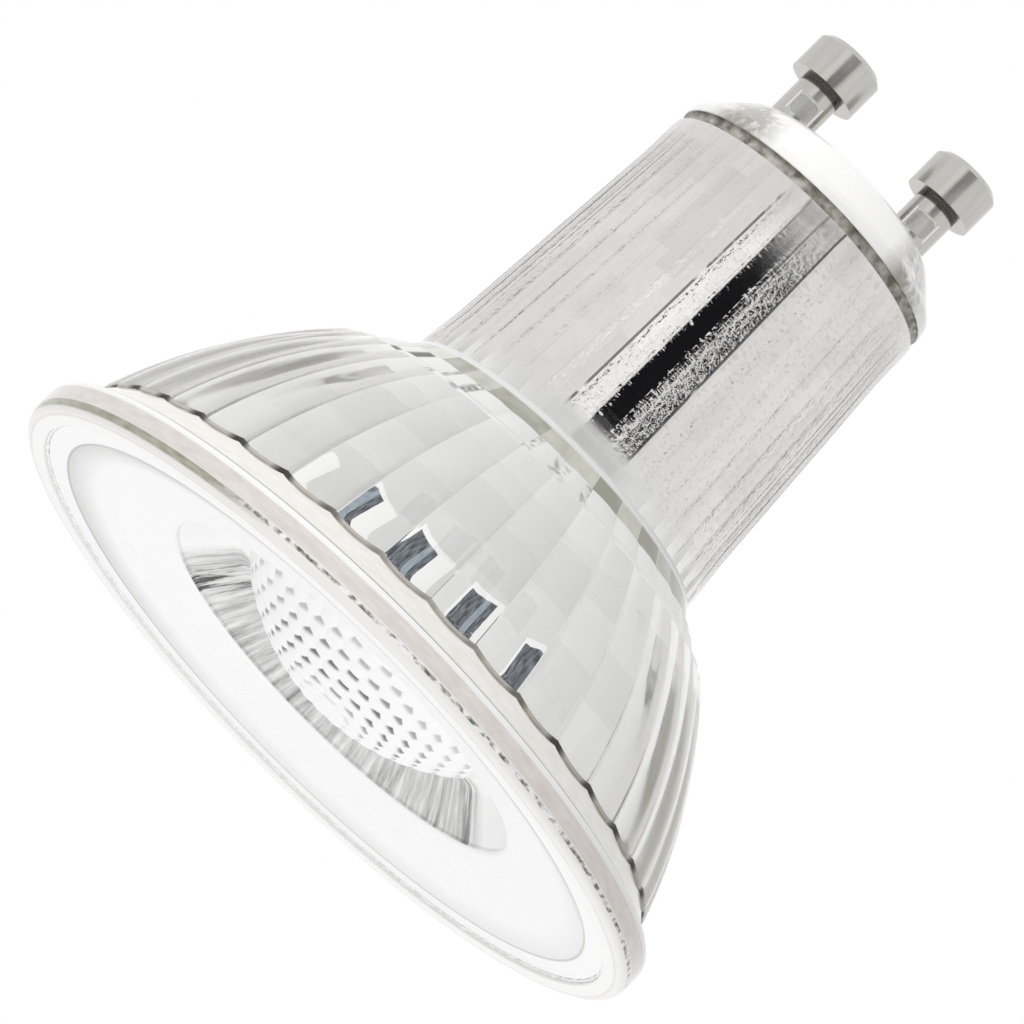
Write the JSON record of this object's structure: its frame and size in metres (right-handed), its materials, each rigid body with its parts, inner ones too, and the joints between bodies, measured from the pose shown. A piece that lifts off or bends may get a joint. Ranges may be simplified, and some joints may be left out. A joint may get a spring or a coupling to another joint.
{
  "type": "led spotlight bulb",
  "caption": "Spotlight bulb with a fluted silvered glass reflector, a frosted front lens with a honeycomb dome, and a bevelled cap with twist-lock contact pins.",
  "frame": {"origin": "centre of the rim's front plane, which the bulb stands on", "axes": "+Z from the light face to the contact pins, +X through the live pin"},
  "size_m": [0.05, 0.05, 0.0521],
  "materials": {
    "silvered_glass": "pressed, silvered inside",
    "frosted_lens": "clear moulding, frosted ring",
    "silicone": "translucent",
    "nickel_brass": "nickel plated",
    "aluminium": "pressed",
    "thermal_pad": "soft",
    "white_board": "white lacquer",
    "phosphor": "moulded",
    "white_plastic": "moulded",
    "green_board": "lacquered",
    "black_plastic": "moulded",
    "capacitor_can": "sleeved can",
    "film_block": "moulded",
    "ferrite": "sintered",
    "enamelled_copper": "enamelled",
    "resistor_coat": "coated",
    "wire_cover": "insulated"
  },
  "bodies": {
    "root": {"bridge_rectifier": "black_plastic", "bulk_capacitor": "capacitor_can", "control_chip": "black_plastic", "driver_board": "green_board", "driver_sleeve": "white_plastic", "film_capacitor": "film_block", "front_lens": "frosted_lens", "fuse_resistor": "resistor_coat", "glass_body": "silvered_glass", "heat_spreader": "aluminium", "inductor_coil": "enamelled_copper", "inductor_core": "ferrite", "led_1": "phosphor", "led_2": "phosphor", "led_3": "phosphor", "led_4": "phosphor", "led_5": "phosphor", "led_6": "phosphor", "led_7": "phosphor", "led_board": "white_board", "led_minus_wire": "wire_cover", "led_plus_wire": "wire_cover", "lens_seal": "silicone", "live_pin": "nickel_brass", "live_wire": "wire_cover", "neutral_pin": "nickel_brass", "neutral_wire": "wire_cover", "sense_resistor_1": "resistor_coat", "sense_resistor_2": "resistor_coat", "thermal_pad": "thermal_pad"}
  },
  "joints": []
}
